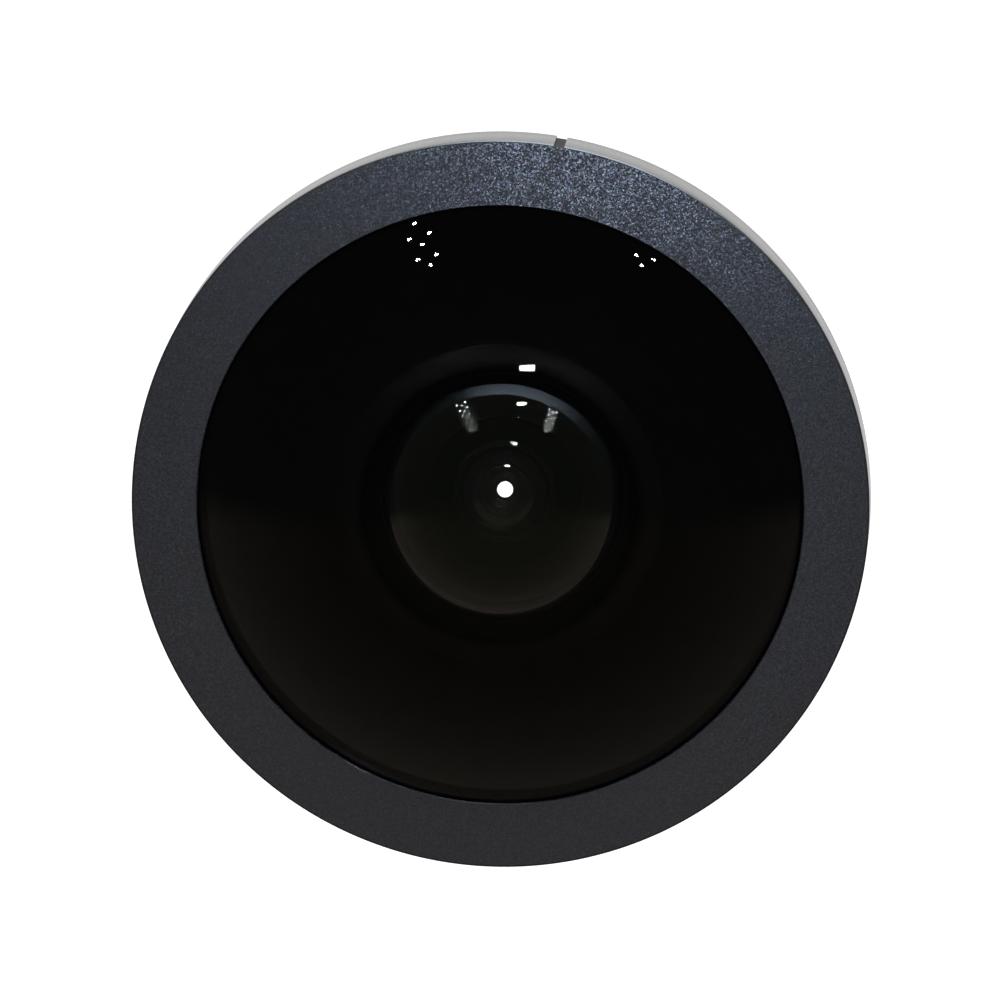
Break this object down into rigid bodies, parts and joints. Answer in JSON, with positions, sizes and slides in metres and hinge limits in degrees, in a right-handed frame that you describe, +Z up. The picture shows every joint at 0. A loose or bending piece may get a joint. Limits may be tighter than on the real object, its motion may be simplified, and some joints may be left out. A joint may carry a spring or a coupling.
{
  "type": "fisheye camera lens",
  "caption": "Round wide-angle surveillance camera lens with a large domed front glass, black bezel, knurled focus ring with locking screw, and a threaded rear mount.",
  "frame": {"origin": "centre of the mount's flange seat, where the lens bears on the camera", "axes": "+Z up as fitted, +Y along the optical axis towards the camera, so the scene is at -Y and +X is on the right seen from the front"},
  "size_m": [0.042, 0.0428, 0.042],
  "materials": {
    "bezel_black": "satin black anodised over a fine blasted surface",
    "barrel_black": "satin black anodised",
    "ring_black": "satin black anodised, knurled",
    "mount_black": "satin black anodised, thread worn bright at its crests",
    "inner_black": "flat black anodised against stray light",
    "stop_black": "flat black sheet",
    "screw_steel": "turned stainless steel",
    "pad_brass": "turned",
    "seal_rubber": "matt",
    "coated_glass": "polished, with a dark green anti-reflection coating and blackened edges"
  },
  "bodies": {
    "mount": {"mount_base": "mount_black", "ring_nut": "inner_black", "guide_screws": "screw_steel"},
    "focus": {"focus_ring": "ring_black"},
    "optics": {"lens_barrel": "barrel_black", "front_bezel": "bezel_black", "front_seal": "seal_rubber", "lens_1": "coated_glass", "lens_2_retainer": "inner_black", "lens_2": "coated_glass", "spacer_2_3": "inner_black", "lens_3": "coated_glass", "spacer_3_4": "inner_black", "lens_4": "coated_glass", "aperture_stop": "stop_black", "spacer_stop_5": "inner_black", "lens_5": "coated_glass", "lens_6": "coated_glass", "spacer_6_7": "inner_black", "lens_7": "coated_glass", "rear_retainer": "inner_black"},
    "lock_pad": {"lock_pad": "pad_brass"},
    "lock_screw": {"lock_screw": "screw_steel"}
  },
  "joints": [
    {"name": "focus_turn", "type": "hinge", "parent": "mount", "child": "focus", "pos_m": [0, -0.008, 0], "axis": [0, 1, 0], "range_deg": [-45, 45]},
    {"name": "focus_travel", "type": "slide", "parent": "mount", "child": "optics", "axis": [0, -1, 0], "range_m": [-0.0005, 0.0005]},
    {"name": "lock_pad_travel", "type": "slide", "parent": "focus", "child": "lock_pad", "axis": [1, 0, 0], "range_m": [0, 0.00024]},
    {"name": "lock_turn", "type": "hinge", "parent": "lock_pad", "child": "lock_screw", "pos_m": [0.016, -0.0051, 0], "axis": [1, 0, 0], "range_deg": [0, 216]}
  ],
  "couplings": [
    {"joint": "focus_turn", "follows": "focus_travel", "rad_per_m": 1570.8},
    {"joint": "lock_turn", "follows": "lock_pad_travel", "rad_per_m": 15708}
  ]
}
